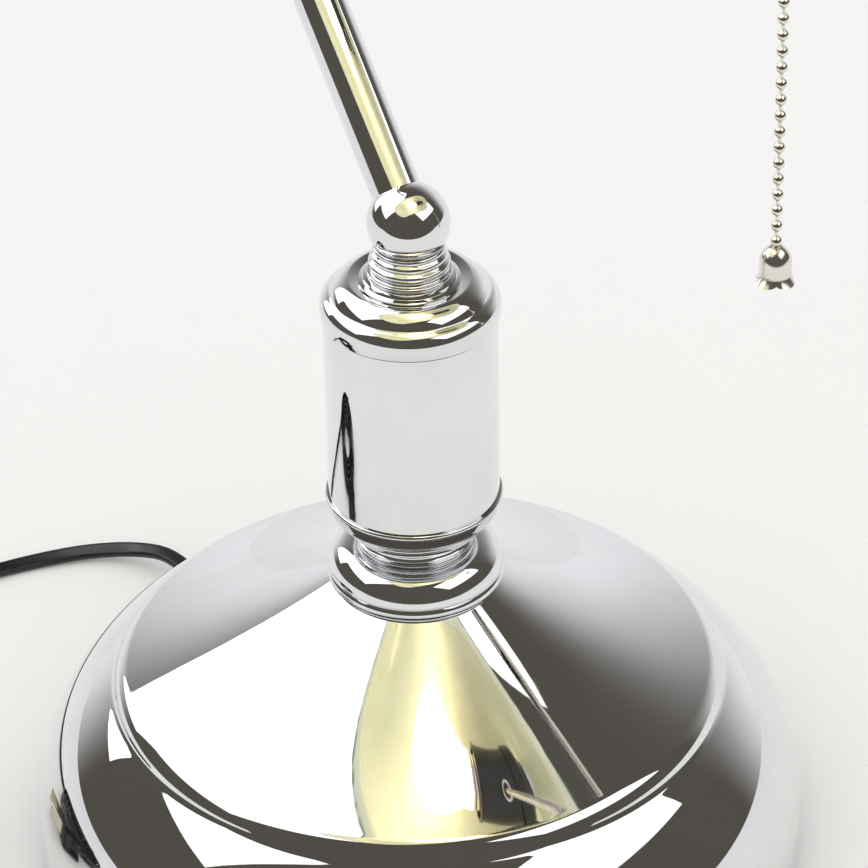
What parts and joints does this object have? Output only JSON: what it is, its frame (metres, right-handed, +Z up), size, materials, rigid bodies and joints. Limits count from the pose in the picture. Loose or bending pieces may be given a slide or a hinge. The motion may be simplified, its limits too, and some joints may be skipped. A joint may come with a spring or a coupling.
{
  "type": "bankers desk lamp",
  "caption": "Desk lamp with a round weighted base, a turned stem, a swivelling swan neck arm, a tilting cased glass shade and a pull chain switch on a mains cord.",
  "frame": {"origin": "centre of the felt foot's underside, on the table, on the stem's axis", "axes": "+Z up along the stem, +X along the shade towards the lampholder, -Y towards the user"},
  "size_m": [0.3343, 0.2751, 0.4412],
  "materials": {
    "chrome": "polished chrome plate",
    "felt": "dark green felt",
    "cast_weight": "rough cast, painted",
    "zinc_steel": "zinc plated",
    "black_pvc": "glossy flexible vinyl",
    "tie_plastic": "matte vinyl band",
    "nickel_brass": "nickel plated",
    "gasket_rubber": "matte rubber",
    "green_glass": "cased glass, green outside and opal white inside",
    "black_phenolic": "moulded phenolic",
    "brass": "plain",
    "satin_nickel": "satin nickel plate",
    "frosted_glass": "frosted",
    "cap_aluminium": "plain rolled threads"
  },
  "bodies": {
    "base": {"base_shell": "chrome", "foot_pad": "felt", "base_weight": "cast_weight", "rod_washer": "zinc_steel", "rod_nut": "zinc_steel", "stem_rod": "zinc_steel", "collar": "chrome", "lower_neck": "chrome", "lower_cup": "chrome", "sleeve": "chrome", "top_cap": "chrome", "upper_neck": "chrome", "cord_relief": "black_pvc", "cord_tube": "black_pvc", "cord_coil": "black_pvc", "cord_tie": "tie_plastic", "plug_body": "black_pvc", "plug_blades": "nickel_brass"},
    "arm": {"swivel_ball": "chrome", "swivel_stud": "zinc_steel", "arm_tube": "chrome", "arm_knuckle": "chrome", "knuckle_screw": "chrome", "thumb_nut": "chrome"},
    "shade": {"shade_knuckle": "chrome", "shade_cap": "chrome", "shade_gaskets": "gasket_rubber", "shade_glass": "green_glass", "shade_nipple": "zinc_steel", "shade_locknut": "zinc_steel", "socket_bracket": "zinc_steel", "holder_cap": "black_phenolic", "holder_shell": "black_phenolic", "switch_core": "black_phenolic", "screw_shell": "brass", "centre_contact": "brass", "holder_nipple": "zinc_steel", "holder_locknut": "zinc_steel", "chain_guide": "satin_nickel", "bulb_glass": "frosted_glass", "bulb_cap": "cap_aluminium", "bulb_contact": "cap_aluminium"},
    "switch": {"switch_slider": "satin_nickel"},
    "chain": {"pull_chain": "satin_nickel", "chain_bell": "satin_nickel"}
  },
  "joints": [
    {"name": "arm_swivel", "type": "hinge", "parent": "base", "child": "arm", "pos_m": [0, 0, 0.181], "axis": [0, 0, 1], "range_deg": [-160, 160]},
    {"name": "shade_tilt", "type": "hinge", "parent": "arm", "child": "shade", "pos_m": [0, -0.048, 0.415], "axis": [1, 0, 0], "range_deg": [-40, 40]},
    {"name": "switch_pull", "type": "slide", "parent": "shade", "child": "switch", "axis": [0, 0, -1], "range_m": [0, 0.008], "stiffness_N_per_m": 150, "springref_m": -0.004},
    {"name": "chain_swing", "type": "hinge", "parent": "switch", "child": "chain", "pos_m": [0.071, -0.048, 0.33102], "axis": [1, 0, 0], "range_deg": [-50, 50]}
  ]
}
